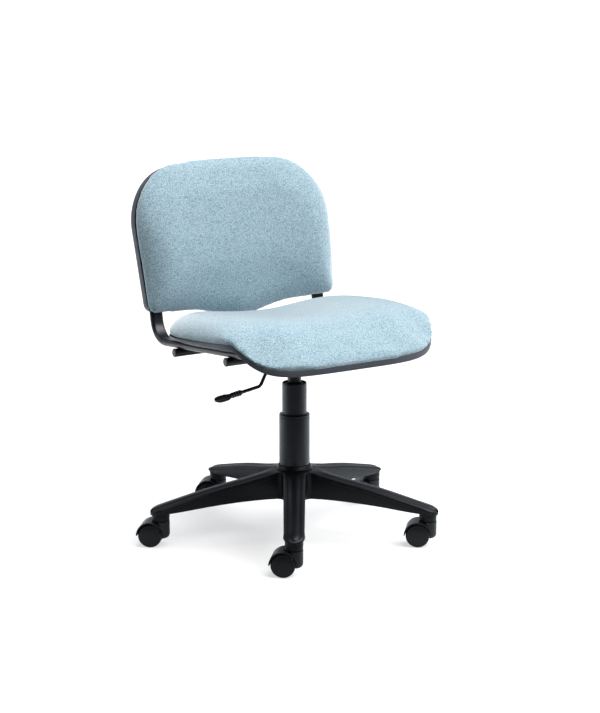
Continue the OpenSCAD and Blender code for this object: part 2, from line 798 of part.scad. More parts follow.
castor_stem(5);  // castor_5_stem
castor_axle(5);  // castor_5_axle
castor_wheel(5, -1);  // castor_5_wheel_left
castor_wheel(5, 1);  // castor_5_wheel_right
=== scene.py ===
import bpy, bmesh, json, math
import numpy as np
from mathutils import Matrix, Vector


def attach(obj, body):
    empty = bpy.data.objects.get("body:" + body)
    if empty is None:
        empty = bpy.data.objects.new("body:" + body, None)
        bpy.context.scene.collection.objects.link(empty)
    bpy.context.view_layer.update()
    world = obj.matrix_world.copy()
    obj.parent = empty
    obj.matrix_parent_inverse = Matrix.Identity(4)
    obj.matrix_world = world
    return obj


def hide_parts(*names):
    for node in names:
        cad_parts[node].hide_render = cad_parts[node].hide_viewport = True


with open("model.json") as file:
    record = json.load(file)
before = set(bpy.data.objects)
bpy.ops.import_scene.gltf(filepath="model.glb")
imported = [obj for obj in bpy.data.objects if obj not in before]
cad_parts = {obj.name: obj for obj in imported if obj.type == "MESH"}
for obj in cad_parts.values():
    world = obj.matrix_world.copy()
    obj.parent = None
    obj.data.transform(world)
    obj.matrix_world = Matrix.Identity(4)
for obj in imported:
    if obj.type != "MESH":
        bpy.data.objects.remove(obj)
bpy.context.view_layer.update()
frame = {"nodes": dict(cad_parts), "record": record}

N = frame["nodes"]
MM = 0.001
rng = np.random.default_rng(7)

# ------------------------------------------------------------------ helpers


def link(ob):
    bpy.context.scene.collection.objects.link(ob)
    return ob


def mesh_obj(name, verts, faces, smooth=True):
    me = bpy.data.meshes.new(name)
    me.from_pydata([tuple(map(float, v)) for v in verts], [], [tuple(map(int, f)) for f in faces])
    me.validate()
    bm = bmesh.new()
    bm.from_mesh(me)
    bmesh.ops.recalc_face_normals(bm, faces=bm.faces)
    bm.to_mesh(me)
    bm.free()
    if smooth:
        me.polygons.foreach_set("use_smooth", [True] * len(me.polygons))
    return link(bpy.data.objects.new(name, me))


def sharpen(ob, deg=35):
    """Smooth shading with sharp edges where the surface really turns."""
    me = ob.data
    bm = bmesh.new()
    bm.from_mesh(me)
    lim = math.radians(deg)
    for e in bm.edges:
        if len(e.link_faces) == 2 and e.calc_face_angle(0.0) > lim:
            e.smooth = False
    bm.to_mesh(me)
    bm.free()
    return ob


def rings_mesh(rings, close_start=False, close_end=False, wrap=True):
    """Quads between rings of equal point count. Returns verts, faces."""
    m = len(rings[0])
    verts = [p for r in rings for p in r]
    faces = []
    for i in range(len(rings) - 1):
        for j in range(m if wrap else m - 1):
            a, b = i * m + j, i * m + (j + 1) % m
            faces.append((a, b, b + m, a + m))
    if close_start:
        c = np.mean(np.array(rings[0], float), axis=0)
        verts.append(c)
        k = len(verts) - 1
        for j in range(m):
            faces.append((k, (j + 1) % m, j))
    if close_end:
        c = np.mean(np.array(rings[-1], float), axis=0)
        verts.append(c)
        k = len(verts) - 1
        o = (len(rings) - 1) * m
        for j in range(m):
            faces.append((k, o + j, o + (j + 1) % m))
    return verts, faces


def lathe(profile, n=96, axis=None, origin=(0, 0, 0)):
    """Turns (r, z) points about an axis (default +Z). A profile that starts and ends on r=0 is closed."""
    o = np.array(origin, float)
    if axis is None:
        x, y, z = np.eye(3)
    else:
        z = np.array(axis, float)
        z /= np.linalg.norm(z)
        h = np.array((0, 0, 1.0)) if abs(z[2]) < 0.9 else np.array((1.0, 0, 0))
        x = np.cross(h, z)
        x /= np.linalg.norm(x)
        y = np.cross(z, x)
    verts, faces, ids = [], [], []
    for r, h in profile:
        if r < 1e-7:
            verts.append(o + z * h)
            ids.append([len(verts) - 1])
        else:
            row = []
            for k in range(n):
                a = 2 * math.pi * k / n
                verts.append(o + z * h + r * (math.cos(a) * x + math.sin(a) * y))
                row.append(len(verts) - 1)
            ids.append(row)
    for p, q in zip(ids[:-1], ids[1:]):
        for k in range(n):
            a, b = p[k % len(p)], p[(k + 1) % len(p)]
            c, d = q[(k + 1) % len(q)], q[k % len(q)]
            f = [v for i, v in enumerate((a, b, c, d)) if v not in (a, b, c, d)[:i]]
            if len(f) >= 3:
                faces.append(tuple(f))
    return verts, faces


def smooth_profile(pts, r, seg=4):
    """Rounds the inner corners of an open (r, z) polyline."""
    out = [pts[0]]
    for a, b, c in zip(pts[:-2], pts[1:-1], pts[2:]):
        a, b, c = map(lambda p: np.array(p, float), (a, b, c))
        u, v = a - b, c - b
        lu, lv = np.linalg.norm(u), np.linalg.norm(v)
        t = min(r, lu * 0.45, lv * 0.45)
        p, q = b + u / lu * t, b + v / lv * t
        for i in range(seg + 1):
            s = i / seg
            out.append(tuple((1 - s) ** 2 * p + 2 * s * (1 - s) * b + s * s * q))
    out.append(pts[-1])
    return out


def join_parts(parts):
    verts, faces, o = [], [], 0
    for v, f in parts:
        verts += [np.array(p, float) for p in v]
        faces += [tuple(i + o for i in g) for g in f]
        o += len(v)
    return verts, faces


def rot_z(verts, a):
    c, s = math.cos(a), math.sin(a)
    return [np.array((p[0] * c - p[1] * s, p[0] * s + p[1] * c, p[2])) for p in verts]


def moved(verts, d):
    d = np.array(d, float)
    return [np.array(p, float) + d for p in verts]


def tidy(node, width_mm=0.6, angle=32, segs=2):
    """Softens the edges of a CAD node that is shown as it is."""
    ob = N[node]
    w = ob.modifiers.new("weld", "WELD")
    w.merge_threshold = 0.00002
    b = ob.modifiers.new("bevel", "BEVEL")
    b.width = width_mm * MM
    b.segments = segs
    b.limit_method = "ANGLE"
    b.angle_limit = math.radians(angle)
    b.use_clamp_overlap = True
    b.harden_normals = False
    s = ob.modifiers.new("smooth", "WEIGHTED_NORMAL")
    s.keep_sharp = True
    ob.data.polygons.foreach_set("use_smooth", [True] * len(ob.data.polygons))
    return ob


# ---------------------------------------------------------------- materials


def new_mat(name):
    m = bpy.data.materials.new(name)
    m.use_nodes = True
    nt = m.node_tree
    for n in list(nt.nodes):
        nt.nodes.remove(n)
    out = nt.nodes.new("ShaderNodeOutputMaterial")
    b = nt.nodes.new("ShaderNodeBsdfPrincipled")
    nt.links.new(b.outputs[0], out.inputs[0])
    return m, nt, b


def node(nt, kind, **kw):
    n = nt.nodes.new(kind)
    for k, v in kw.items():
        if hasattr(n, k):
            setattr(n, k, v)
        else:
            n.inputs[k].default_value = v
    return n


def mix_rgb(nt, fac, a, b, mode="MIX"):
    m = nt.nodes.new("ShaderNodeMix")
    m.data_type = "RGBA"
    m.blend_type = mode
    for s, v in ((0, fac), (6, a), (7, b)):
        if isinstance(v, (int, float)):
            m.inputs[s].default_value = v
        elif isinstance(v, (tuple, list)):
            m.inputs[s].default_value = tuple(v) + ((1,) if len(v) == 3 else ())
        else:
            nt.links.new(v, m.inputs[s])
    return m.outputs[2]


def ramp(nt, src, stops):
    r = nt.nodes.new("ShaderNodeValToRGB")
    e = r.color_ramp.elements
    e[0].position, e[0].color = stops[0][0], tuple(stops[0][1]) + (1,)
    e[1].position, e[1].color = stops[-1][0], tuple(stops[-1][1]) + (1,)
    for p, c in stops[1:-1]:
        x = e.new(p)
        x.color = tuple(c) + (1,)
    nt.links.new(src, r.inputs[0])
    return r.outputs[0]


def math_node(nt, op, a, b=None, clamp=False):
    m = nt.nodes.new("ShaderNodeMath")
    m.operation = op
    m.use_clamp = clamp
    for i, v in enumerate((a, b)):
        if v is None:
            continue
        if isinstance(v, (int, float)):
            m.inputs[i].default_value = v
        else:
            nt.links.new(v, m.inputs[i])
    return m.outputs[0]


def coords(nt, scale=(1, 1, 1)):
    tc = nt.nodes.new("ShaderNodeTexCoord")
    mp = nt.nodes.new("ShaderNodeMapping")
    mp.inputs["Scale"].default_value = scale
    nt.links.new(tc.outputs["Object"], mp.inputs[0])
    return mp.outputs[0]


def noise(nt, vec, scale, detail=2.0, rough=0.5, dist=0.0):
    n = nt.nodes.new("ShaderNodeTexNoise")
    n.inputs["Scale"].default_value = scale
    n.inputs["Detail"].default_value = detail
    n.inputs["Roughness"].default_value = rough
    n.inputs["Distortion"].default_value = dist
    nt.links.new(vec, n.inputs["Vector"])
    return n.outputs["Fac"]


def bump(nt, bsdf, height, strength, dist, chain=None):
    b = nt.nodes.new("ShaderNodeBump")
    b.inputs["Strength"].default_value = strength
    b.inputs["Distance"].default_value = dist
    nt.links.new(height, b.inputs["Height"])
    if chain is not None:
        nt.links.new(chain, b.inputs["Normal"])
    nt.links.new(b.outputs[0], bsdf.inputs["Normal"])
    return b.outputs[0]


def edge_mask(nt, lo=0.52, hi=0.62):
    """1 on convex edges (mesh pointiness)."""
    g = nt.nodes.new("ShaderNodeNewGeometry")
    r = nt.nodes.new("ShaderNodeMapRange")
    r.inputs["From Min"].default_value = lo
    r.inputs["From Max"].default_value = hi
    r.clamp = True
    nt.links.new(g.outputs["Pointiness"], r.inputs["Value"])
    return r.outputs["Result"]


def plastic(name, base, rough=0.42, grain=1700.0, grain_amt=0.12, light=None, spec=0.45, wear_and_highlight=0.35, coat=0.0):
    """Moulded plastic: fine spark-eroded grain, faint flow mottling, paler convex edges that are partly wear and partly
    a painted highlight.
    """
    m, nt, b = new_mat(name)
    v = coords(nt)
    big = noise(nt, v, 22, 4, 0.55)
    fine = noise(nt, v, grain, 3, 0.6)
    light = light or tuple(min(1, c * 1.9 + 0.01) for c in base)
    col = ramp(nt, big, [(0.3, tuple(c * 0.96 for c in base)), (0.7, tuple(c * 1.05 for c in base))])
    # convex edges turn paler: partly wear, partly a painted highlight where the edges catch the light
    edge = math_node(nt, "MULTIPLY", edge_mask(nt), wear_and_highlight)
    col = mix_rgb(nt, edge, col, light)
    sp = ramp(nt, noise(nt, v, 420, 2, 0.5), [(0.66, (0, 0, 0)), (0.78, (1, 1, 1))])
    col = mix_rgb(nt, math_node(nt, "MULTIPLY", sp, 0.03), col, light)
    nt.links.new(col, b.inputs["Base Color"])
    r = ramp(nt, noise(nt, v, 60, 5, 0.6), [(0.3, (rough - 0.025,) * 3), (0.7, (rough + 0.035,) * 3)])
    nt.links.new(r, b.inputs["Roughness"])
    b.inputs["Specular IOR Level"].default_value = spec
    if coat:
        b.inputs["Coat Weight"].default_value = coat
        b.inputs["Coat Roughness"].default_value = 0.25
    c = bump(nt, b, fine, grain_amt, 0.0003)
    bump(nt, b, noise(nt, v, 90, 2, 0.5), 0.05, 0.0008, c)
    return m


def powder_coat(name, base, rough=0.36, metallic=0.0, peel=0.12, light=None, spec=0.5):
    """Satin powder coat: orange peel, faint dust, paler edges that are partly thin coat and partly a painted highlight.
    """
    m, nt, b = new_mat(name)
    v = coords(nt)
    light = light or tuple(c * 2.2 + 0.02 for c in base)
    big = noise(nt, v, 14, 5, 0.6)
    col = ramp(nt, big, [(0.3, tuple(c * 0.85 for c in base)), (0.72, tuple(c * 1.2 for c in base))])
    # paler convex edges: partly thin coat, partly a painted highlight
    col = mix_rgb(nt, math_node(nt, "MULTIPLY", edge_mask(nt, 0.53, 0.66), 0.4), col, light)
    nt.links.new(col, b.inputs["Base Color"])
    r = ramp(nt, noise(nt, v, 40, 4, 0.6), [(0.3, (rough - 0.05,) * 3), (0.7, (rough + 0.06,) * 3)])
    nt.links.new(r, b.inputs["Roughness"])
    b.inputs["Specular IOR Level"].default_value = spec
    b.inputs["Metallic"].default_value = metallic
    c = bump(nt, b, noise(nt, v, 620, 1, 0.4), peel, 0.0004)
    bump(nt, b, noise(nt, v, 2600, 2, 0.6), 0.05, 0.0002, c)
    return m


def bare_metal(name, base, rough=0.28, along=(1, 1, 1)):
    """Turned or drawn metal with fine tool lines and slight tarnish."""
    m, nt, b = new_mat(name)
    v = coords(nt, along)
    lines = noise(nt, v, 900, 3, 0.7)
    tarn = noise(nt, coords(nt), 70, 5, 0.65)
    col = ramp(nt, tarn, [(0.3, tuple(c * 0.72 for c in base)), (0.65, base)])
    nt.links.new(col, b.inputs["Base Color"])
    b.inputs["Metallic"].default_value = 1.0
    r = ramp(nt, lines, [(0.3, (rough - 0.08,) * 3), (0.7, (rough + 0.12,) * 3)])
    nt.links.new(r, b.inputs["Roughness"])
    bump(nt, b, lines, 0.12, 0.0002)
    return m


def wood(name):
    m, nt, b = new_mat(name)
    v = coords(nt, (1, 0.12, 1))
    w = nt.nodes.new("ShaderNodeTexWave")
    w.inputs["Scale"].default_value = 60
    w.inputs["Distortion"].default_value = 6
    w.inputs["Detail"].default_value = 3
    nt.links.new(v, w.inputs["Vector"])
    col = ramp(nt, w.outputs["Fac"], [(0.2, (0.36, 0.22, 0.11)), (0.8, (0.6, 0.43, 0.25))])
    nt.links.new(col, b.inputs["Base Color"])
    b.inputs["Roughness"].default_value = 0.65
    bump(nt, b, w.outputs["Fac"], 0.2, 0.0004)
    return m


def wool(name):
    """Felted, heathered wool: darker and paler fibres over a light blue ground."""
    m, nt, b = new_mat(name)
    v = coords(nt)
    # warp the lookup a little so that the fibres curl
    wn = nt.nodes.new("ShaderNodeTexNoise")
    wn.inputs["Scale"].default_value = 260
    wn.inputs["Detail"].default_value = 1
    nt.links.new(v, wn.inputs["Vector"])
    add = nt.nodes.new("ShaderNodeMix")
    add.data_type = "VECTOR"
    add.inputs[0].default_value = 0.0018
    nt.links.new(v, add.inputs[4])
    nt.links.new(wn.outputs["Color"], add.inputs[5])
    vv = add.outputs[1]
    cloud = noise(nt, v, 24, 3, 0.6)
    mott = noise(nt, vv, 250, 2, 0.6)
    fleck = noise(nt, vv, 500, 3, 0.72)
    pale = noise(nt, coords(nt, (1.07, 0.93, 1.11)), 580, 3, 0.72)
    fibre = noise(nt, vv, 1500, 2, 0.6)
    ground = ramp(nt, cloud, [(0.3, tuple(c * 0.96 for c in WOOL_BASE)), (0.7, tuple(c * 1.04 for c in WOOL_BASE))])
    dark = tuple(c * k for c, k in zip(WOOL_BASE, (0.29, 0.44, 0.52)))
    light = tuple(min(1.0, c * k) for c, k in zip(WOOL_BASE, (1.84, 1.61, 1.51)))
    col = mix_rgb(nt, ramp(nt, mott, [(0.50, (0, 0, 0)), (0.66, (0.38, 0.38, 0.38))]), ground, dark)
    col = mix_rgb(nt, ramp(nt, pale, [(0.33, (0.95, 0.95, 0.95)), (0.50, (0, 0, 0))]), col, light)
    col = mix_rgb(nt, ramp(nt, fleck, [(0.49, (0, 0, 0)), (0.60, (1.0, 1.0, 1.0))]), col, dark)
    col = mix_rgb(nt, ramp(nt, fibre, [(0.34, (0.30, 0.30, 0.30)), (0.5, (0, 0, 0))]), col, light)
    nt.links.new(col, b.inputs["Base Color"])
    r = ramp(nt, fleck, [(0.3, (0.86,) * 3), (0.7, (1.0,) * 3)])
    nt.links.new(r, b.inputs["Roughness"])
    b.inputs["Specular IOR Level"].default_value = 0.12
    b.inputs["Sheen Weight"].default_value = 0.88
    b.inputs["Sheen Roughness"].default_value = 0.42
    b.inputs["Sheen Tint"].default_value = (1.0, 0.99, 0.98, 1)
    c = bump(nt, b, mott, 0.20, 0.0010)
    c = bump(nt, b, fleck, 0.45, 0.0007, c)
    bump(nt, b, fibre, 0.30, 0.0003, c)
    return m


WOOL_BASE = (0.272, 0.377, 0.427)
NYLON = plastic("base_nylon", (0.0022, 0.0025, 0.0038), 0.40, 1500, 0.08, light=(0.016, 0.018, 0.023), wear_and_highlight=0.35, spec=0.17)
HOOD = plastic("castor_nylon", (0.0048, 0.0054, 0.0076), 0.34, 1500, 0.05, light=(0.024, 0.026, 0.032), wear_and_highlight=0.35, spec=0.28)
WHEEL = plastic("wheel_nylon", (0.0026, 0.0029, 0.0044), 0.30, 1200, 0.04, light=(0.018, 0.020, 0.026), wear_and_highlight=0.35, spec=0.22)
SHELL = plastic("shell_plastic", (0.052, 0.0555, 0.069), 0.48, 1400, 0.14, light=(0.09, 0.094, 0.108), wear_and_highlight=0.4, spec=0.36)
TRIM = plastic("trim_plastic", (0.010, 0.0112, 0.0155), 0.36, 1500, 0.08, light=(0.07, 0.074, 0.085), wear_and_highlight=0.6, spec=0.45)
COVER = plastic("cover_plastic", (0.0112, 0.0129, 0.0186), 0.36, 1500, 0.08, light=(0.05, 0.054, 0.064), wear_and_highlight=0.4, spec=0.36)
# the grip's strong pale rim is a painted highlight along its edges
GRIP = plastic("grip_plastic", (0.020, 0.022, 0.029), 0.33, 1500, 0.06, light=(0.10, 0.105, 0.12), wear_and_highlight=0.8, spec=0.55)
INNER = plastic("inner_nylon", (0.03, 0.03, 0.033), 0.5)
BLACK = powder_coat("black_steel", (0.0085, 0.0095, 0.0135), 0.32, spec=0.42)
TUBE = powder_coat("column_paint", (0.0150, 0.0172, 0.0235), 0.34, light=(0.05, 0.055, 0.066), spec=0.36)
STEEL = bare_metal("bright_steel", (0.56, 0.57, 0.58))
BRASS = bare_metal("valve_brass", (0.6, 0.46, 0.22))
PLY = wood("plywood")
WOOL = wool("wool_felt")
SLOT_MAT = {"moulded_nylon": NYLON, "castor_nylon": HOOD, "wheel_nylon": WHEEL, "bright_steel": STEEL,
            "black_steel": BLACK, "inner_nylon": INNER, "valve_brass": BRASS, "trim_plastic": TRIM,
            "shell_plastic": SHELL, "plywood": PLY, "wool_felt": WOOL}
SLOT_OF = {s["node"]: s["material_slot"] for s in frame["record"]["subparts"]}


def paint(ob, mat):
    ob.data.materials.clear()
    ob.data.materials.append(mat)
    return ob


for name, ob in N.items():
    paint(ob, SLOT_MAT[SLOT_OF[name]])
paint(N["column_tube"], TUBE)
paint(N["pressure_cylinder"], TUBE)
paint(N["lower_cover"], COVER)


def body_piece(name, verts_mm, faces, mat, body, replaced=(), smooth=True, sharp=None):
    ob = mesh_obj(name, [np.array(p, float) * MM for p in verts_mm], faces, smooth)
    if sharp:
        sharpen(ob, sharp)
    paint(ob, mat)
    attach(ob, body)
    if replaced:
        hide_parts(*replaced)
    return ob


# ------------------------------------------------- dimensions (mm, CAD frame)

BASE_TURN, STEM_R, WHEEL_R = -34.0, 280.0, 24.0
ARM_ANGLES = [math.radians(-90 + BASE_TURN + 72 * k) for k in range(5)]
TRAIL = math.radians(138)
TILT, FRAME_Z = math.radians(4.5), 397.5
SEAT_W, SEAT_F, SEAT_R, SEAT_MID = 239.0, 216.0, 190.0, -66.0
DROP, DROP_V, EDGE_W, CROWN, OVAL_T = 56.5, -131.0, 21.0, 36.0, 14.0
BACK_TILT, POST_Y, POST_Z = math.radians(12.5), 209.0, 446.7
WRAP_R, PART_N, PAD_T, BACK_TOP = 1450.0, 5.5, 40.0, 298.0


def seat_to_world(p):
    """Points (u, v, w) of the seat's tilted frame to the chair's frame, mm."""
    p = np.asarray(p, float)
    c, s = math.cos(-TILT), math.sin(-TILT)
    return np.stack([p[..., 0], p[..., 1] * c - p[..., 2] * s, p[..., 1] * s + p[..., 2] * c + FRAME_Z], -1)


def back_to_world(p):
    p = np.asarray(p, float)
    c, s = math.cos(-BACK_TILT), math.sin(-BACK_TILT)
    return np.stack([p[..., 0], p[..., 1] * c - p[..., 2] * s + POST_Y, p[..., 1] * s + p[..., 2] * c + POST_Z], -1)

# ------------------------------------------------------------------ base

ARM_TOP = [(0, 137), (44, 136), (66, 131.5), (104, 122.6), (142, 114.8), (197, 102.2), (240, 92.4), (270, 85.5),
           (286, 81.2), (295, 77.2), (301, 72.4)]
ARM_BOT = [(0, 79.4), (60, 80.4), (91, 80.2), (116, 79.5), (140, 78.4), (166, 76.6), (190, 74.6), (215, 72.0),
           (238, 69.6), (262, 67.5), (301, 68.0)]
LIP_H = 6.5


def smooth_curve(table, sigma=7.0):
    xs = np.arange(-60, 361, 1.0)
    tx, ty = np.array(table, float).T
    y = np.interp(xs, tx, ty)
    k = np.exp(-0.5 * (np.arange(-30, 31) / sigma) ** 2)
    k /= k.sum()
    ys = np.convolve(np.pad(y, 30, mode="edge"), k, mode="valid")
    w = np.clip((xs - 282) / 10, 0, 1)
    ys = ys * (1 - w) + y * w
    return lambda q: np.interp(q, xs, ys)


arm_line, bot_of = smooth_curve(ARM_TOP), smooth_curve(ARM_BOT)


def top_of(u):
    """Top of an arm: the table's line, bowed up a little in mid-length."""
    return arm_line(u) + 2.0 * np.exp(-((u - 185.0) / 62.0) ** 2)


def arm_half(u):
    """Outer half width of an arm: filleted corner between neighbours, slight taper, round tip."""
    t36 = math.tan(math.radians(36))
    if u <= 36.6:
        return u * t36
    if u <= 44.7:
        return 32.5 - math.sqrt(max(0.0, 100 - (u - 44.7) ** 2))
    if u <= STEM_R:
        return 22.5 - 2.5 * (u - 44.7) / (STEM_R - 44.7) + 0.9 * min(1.0, max(0.0, (u - 258) / 22)) ** 2
    return math.sqrt(max(0.0, 20.9 ** 2 - (u - STEM_R) ** 2))


def arm_mesh():
    us = list(np.linspace(26, 36.6, 5)) + list(np.linspace(37.6, 44.7, 8)) + list(np.linspace(48, 258, 43)) + \
        [261.5, 262.3] + list(np.linspace(265, 280, 5)) + [280 + 20.9 * math.sin(a) for a in np.linspace(0.12, 1.5, 15)]
    rings = []
    for u in us:
        hw = arm_half(u)
        zt, zb = float(top_of(u)), float(bot_of(u))
        near = min(1.0, max(0.0, (u - 36) / 26))
        rr = min(hw * 0.95, 3.0 + 7.5 * near)            # edge rounding, across
        dz = 1.2 + 5.0 * near                            # edge rounding, down
        crown = 2.3 * near                               # gentle camber of the top
        k = min(1.0, hw / 9.0)
        lip = (1.3 + 1.1 * min(1.0, max(0.0, (u - 262) / 26))) * near * k
        if u > STEM_R:
            dz = min(dz, (zt - zb) * 0.5)
        hw_in = max(hw - lip, hw * 0.5)
        wall = 3.6 if u < 262 else hw_in * 0.98
        ceil = zt - dz - 3.5 if u < 262 else zb + 0.05
        ring = []
        # right side up and over the top to the left side
        ring.append((hw_in - (0.8 + 0.9 * near) * k, zb))
        ring.append((hw_in - (0.2 + 0.9 * near) * k, zb + 0.8))
        ring.append((hw_in - 0.25 * k, zt - dz - LIP_H + 0.4))
        ring.append((hw_in, zt - dz - LIP_H + 2.4))
        ring.append((hw - 0.25 * lip, zt - dz - LIP_H + 3.2))
        ring.append((hw, zt - dz - LIP_H + 4.2))
        ring.append((hw, zt - dz - 0.6))
        for a in np.linspace(0.12, 1.0, 7):
            ang = a * math.pi / 2
            ring.append((hw - rr * (1 - math.cos(ang)), zt - dz + (dz - crown * (1 - 0.0)) * math.sin(ang)))
        inner = hw - rr
        for s in np.linspace(0.8, -0.8, 9):
            ring.append((inner * s, zt - crown * s * s))
        mirror = [(-x, z) for x, z in reversed(ring[:14])]
        ring += mirror
        # inside of the channel
        ring.append((-(hw_in - wall), zb))
        ring.append((-(hw_in - wall) * 0.97, (zb + ceil) / 2))
        ring.append((-(hw_in - wall) * 0.90, ceil))
        ring.append((0, ceil))
        ring.append(((hw_in - wall) * 0.90, ceil))
        ring.append(((hw_in - wall) * 0.97, (zb + ceil) / 2))
        ring.append(((hw_in - wall), zb))
        rings.append([np.array((u, y, z)) for y, z in ring])
    return rings_mesh(rings, close_start=True, close_end=True)


def rib(u, thick=2.6):
    hw = arm_half(u) - 3.0
    zt, zb = float(top_of(u)) - 7.0, float(bot_of(u)) + 4.5
    v = [(u + sx * thick / 2, sy * hw, z) for z in (zb, zt) for sx, sy in ((-1, -1), (1, -1), (1, 1), (-1, 1))]
    f = [(0, 3, 2, 1), (4, 5, 6, 7), (0, 1, 5, 4), (1, 2, 6, 5), (2, 3, 7, 6), (3, 0, 4, 7)]
    return [np.array(p, float) for p in v], f


parts = []
arm_v, arm_f = arm_mesh()
boss_prof = smooth_profile([(5.2, 60), (5.2, 52.0), (16.9, 52.0), (17.3, 52.6), (17.4, 58.6), (17.75, 59.4), (17.75, 66.8),
                            (18.2, 67.6), (18.3, 71.5), (17.4, 74), (5.0, 74), (5.2, 60)], 0.5)
boss_v, boss_f = lathe(boss_prof, 64)
for a in ARM_ANGLES:
    parts.append((rot_z(arm_v, a), arm_f))
    for u in (66, 88, 126, 166, 206, 240):
        v, f = rib(u)
        parts.append((rot_z(v, a), f))
    # long centre rib
    cv = []
    cu = np.linspace(40, 262, 24)
    for u in cu:
        for y, z in ((-1.2, bot_of(u) + 7), (1.2, bot_of(u) + 7), (1.2, top_of(u) - 7), (-1.2, top_of(u) - 7)):
            cv.append(np.array((u, y, float(z))))
    cf = []
    for i in range(len(cu) - 1):
        for j in range(4):
            p, q = i * 4 + j, i * 4 + (j + 1) % 4
            cf.append((p, q, q + 4, p + 4))
    cf += [(0, 3, 2, 1), tuple(len(cv) - 4 + k for k in range(4))]
    parts.append((rot_z(cv, a), cf))
    parts.append((rot_z(moved(boss_v, (STEM_R, 0, 0)), a), boss_f))
hub_prof = [(25.9, 100), (25.9, 145.2), (26.6, 145.9), (32.0, 146.0), (32.9, 145.6), (33.7, 144.4), (36.0, 139.6), (36.4, 138.2),
            (36.4, 134.6), (35.8, 133.4), (34.2, 132.7), (33.6, 130.8), (33.6, 82), (33, 78.4),
            (30, 78.0), (25.4, 78.0), (24.4, 79), (24.4, 96), (25.9, 100)]
parts.append(lathe(smooth_profile(hub_prof, 0.9, 4), 120))
v, f = join_parts(parts)
base = body_piece("base_moulding", v, f, NYLON, "base", ["star_base"], sharp=38)

# --------------------------------------------------------- column and cover

cover_prof = smooth_profile([(25.4, 250.5), (29.6, 250.5), (30.9, 249.2), (31.0, 246.4), (30.2, 245.8), (30.2, 244.6), (31.0, 244.0), (31.0, 150), (30.8, 146.2), (29.2, 146.0),
                             (28.9, 150), (28.9, 246), (28.0, 248.2), (25.7, 248.0), (25.3, 249.2), (25.4, 250.5)], 0.8, 4)
v, f = lathe(cover_prof, 128)
body_piece("column_cover", v, f, COVER, "base", ["lower_cover"], sharp=50)

tube_prof = smooth_profile([(22.4, 72), (23.7, 72), (23.8, 76), (25.0, 134), (25.0, 312.6), (24.2, 314.7), (23.3, 315.0), (22.5, 314.2),
                            (22.4, 310), (22.4, 72)], 0.7, 4)
v, f = lathe(tube_prof, 128)
body_piece("column_outer", v, f, TUBE, "base", ["column_tube"], sharp=50)
bush_prof = smooth_profile([(14.1, 235), (22.2, 235), (22.2, 308.8), (20.6, 309.4), (17.2, 312.6), (16.0, 313.2), (14.7, 312.4), (14.1, 310), (14.1, 235)], 0.6, 3)
v, f = lathe(bush_prof, 96)
body_piece("column_bush", v, f, INNER, "base", ["guide_bush"], sharp=50)

# ------------------------------------------------------------------ castors


def castor_frame(k):
    a = ARM_ANGLES[k]
    o = np.array((STEM_R * math.cos(a), STEM_R * math.sin(a), 0.0))
    ex = np.array((math.cos(TRAIL), math.sin(TRAIL), 0.0))
    ey = np.array((-math.sin(TRAIL), math.cos(TRAIL), 0.0))
    return o, ex, ey


def to_castor(k, verts):
    o, ex, ey = castor_frame(k)
    return [o + p[0] * ex + p[1] * ey + np.array((0, 0, p[2])) for p in verts]


# outer face of a wheel: tread, rounded shoulder, raised ring and dished disc
wheel_prof = smooth_profile([(3.2, 0.0), (15, 0.0), (21.8, 0.2), (23.4, 0.9), (24.0, 2.4), (24.0, 11.0), (23.75, 12.6), (22.9, 14.1),
                             (21.6, 14.9), (20.6, 15.15), (19.8, 15.0), (19.3, 15.05), (14, 15.75), (8, 16.15), (0, 16.3)], 0.45, 3)
wheel_back = [(3.2, 0.0), (3.2, 11), (0, 11)]
for k in range(5):
    for side, s in (("left", -1), ("right", 1)):
        o, ex, ey = castor_frame(k)
        c = o + 19 * ex + s * 7.4 * ey + np.array((0, 0, WHEEL_R))
        v1, f1 = lathe(wheel_prof, 96, axis=s * ey, origin=c)
        v2, f2 = lathe(list(reversed(wheel_back)), 96, axis=s * ey, origin=c)
        v, f = join_parts([(v1, f1), (v2, f2)])
        nm = "castor_%d_wheel_%s" % (k + 1, side)
        body_piece(nm + "_disc", v, f, WHEEL, nm, [nm], sharp=34)
    for nm in ("castor_%d_hood" % (k + 1),):
        tidy(nm, 1.1, 30, 3)

# --------------------------------------------------------------- seat shell


def seat_outline(inset, n=192):
    a = np.arange(n) * 2 * math.pi / n
    c, s = np.cos(a), np.sin(a)
    p = np.where(s < 0, 3.3, 3.8)
    w = SEAT_W - inset
    b = np.where(s < 0, SEAT_F + SEAT_MID, SEAT_R - SEAT_MID) - inset
    return w * np.sign(c) * np.abs(c) ** (2 / p), SEAT_MID + b * np.sign(s) * np.abs(s) ** (2 / p)


def seat_outline_even(inset, n=224):
    """The same outline with points at even spacing."""
    u, v = seat_outline(inset, 1440)
    u, v = np.append(u, u[0]), np.append(v, v[0])
    d = np.concatenate([[0], np.cumsum(np.hypot(np.diff(u), np.diff(v)))])
    q = np.linspace(0, d[-1], n, endpoint=False)
    return np.interp(q, d, u), np.interp(q, d, v)


def drop(v):
    v = np.asarray(v, float)
    u = np.clip((DROP_V - v) / (SEAT_F + DROP_V), 0, None) ** 0.85
    d = DROP * np.minimum(1.12, u * u * (3 - 2 * u) + np.where(u > 1, (u - 1) * 3, 0))
    return np.where(v >= DROP_V, 0, d)


def top_drop(u, v):
    """How far the pad's top follows the rim down; in the middle it starts later, so the front is rounder."""
    w = np.clip((np.abs(u) - 110.0) / 95.0, 0, 1)
    w = w * w * (3 - 2 * w)
    x = np.clip((DROP_V - np.asarray(v, float)) / (SEAT_F + DROP_V), 0, None) ** (1.12 - 0.27 * w)
    d = DROP * np.minimum(1.12, x * x * (3 - 2 * x) + np.where(x > 1, (x - 1) * 3, 0))
    return np.where(v >= DROP_V, 0, d * (0.80 + 0.13 * w))


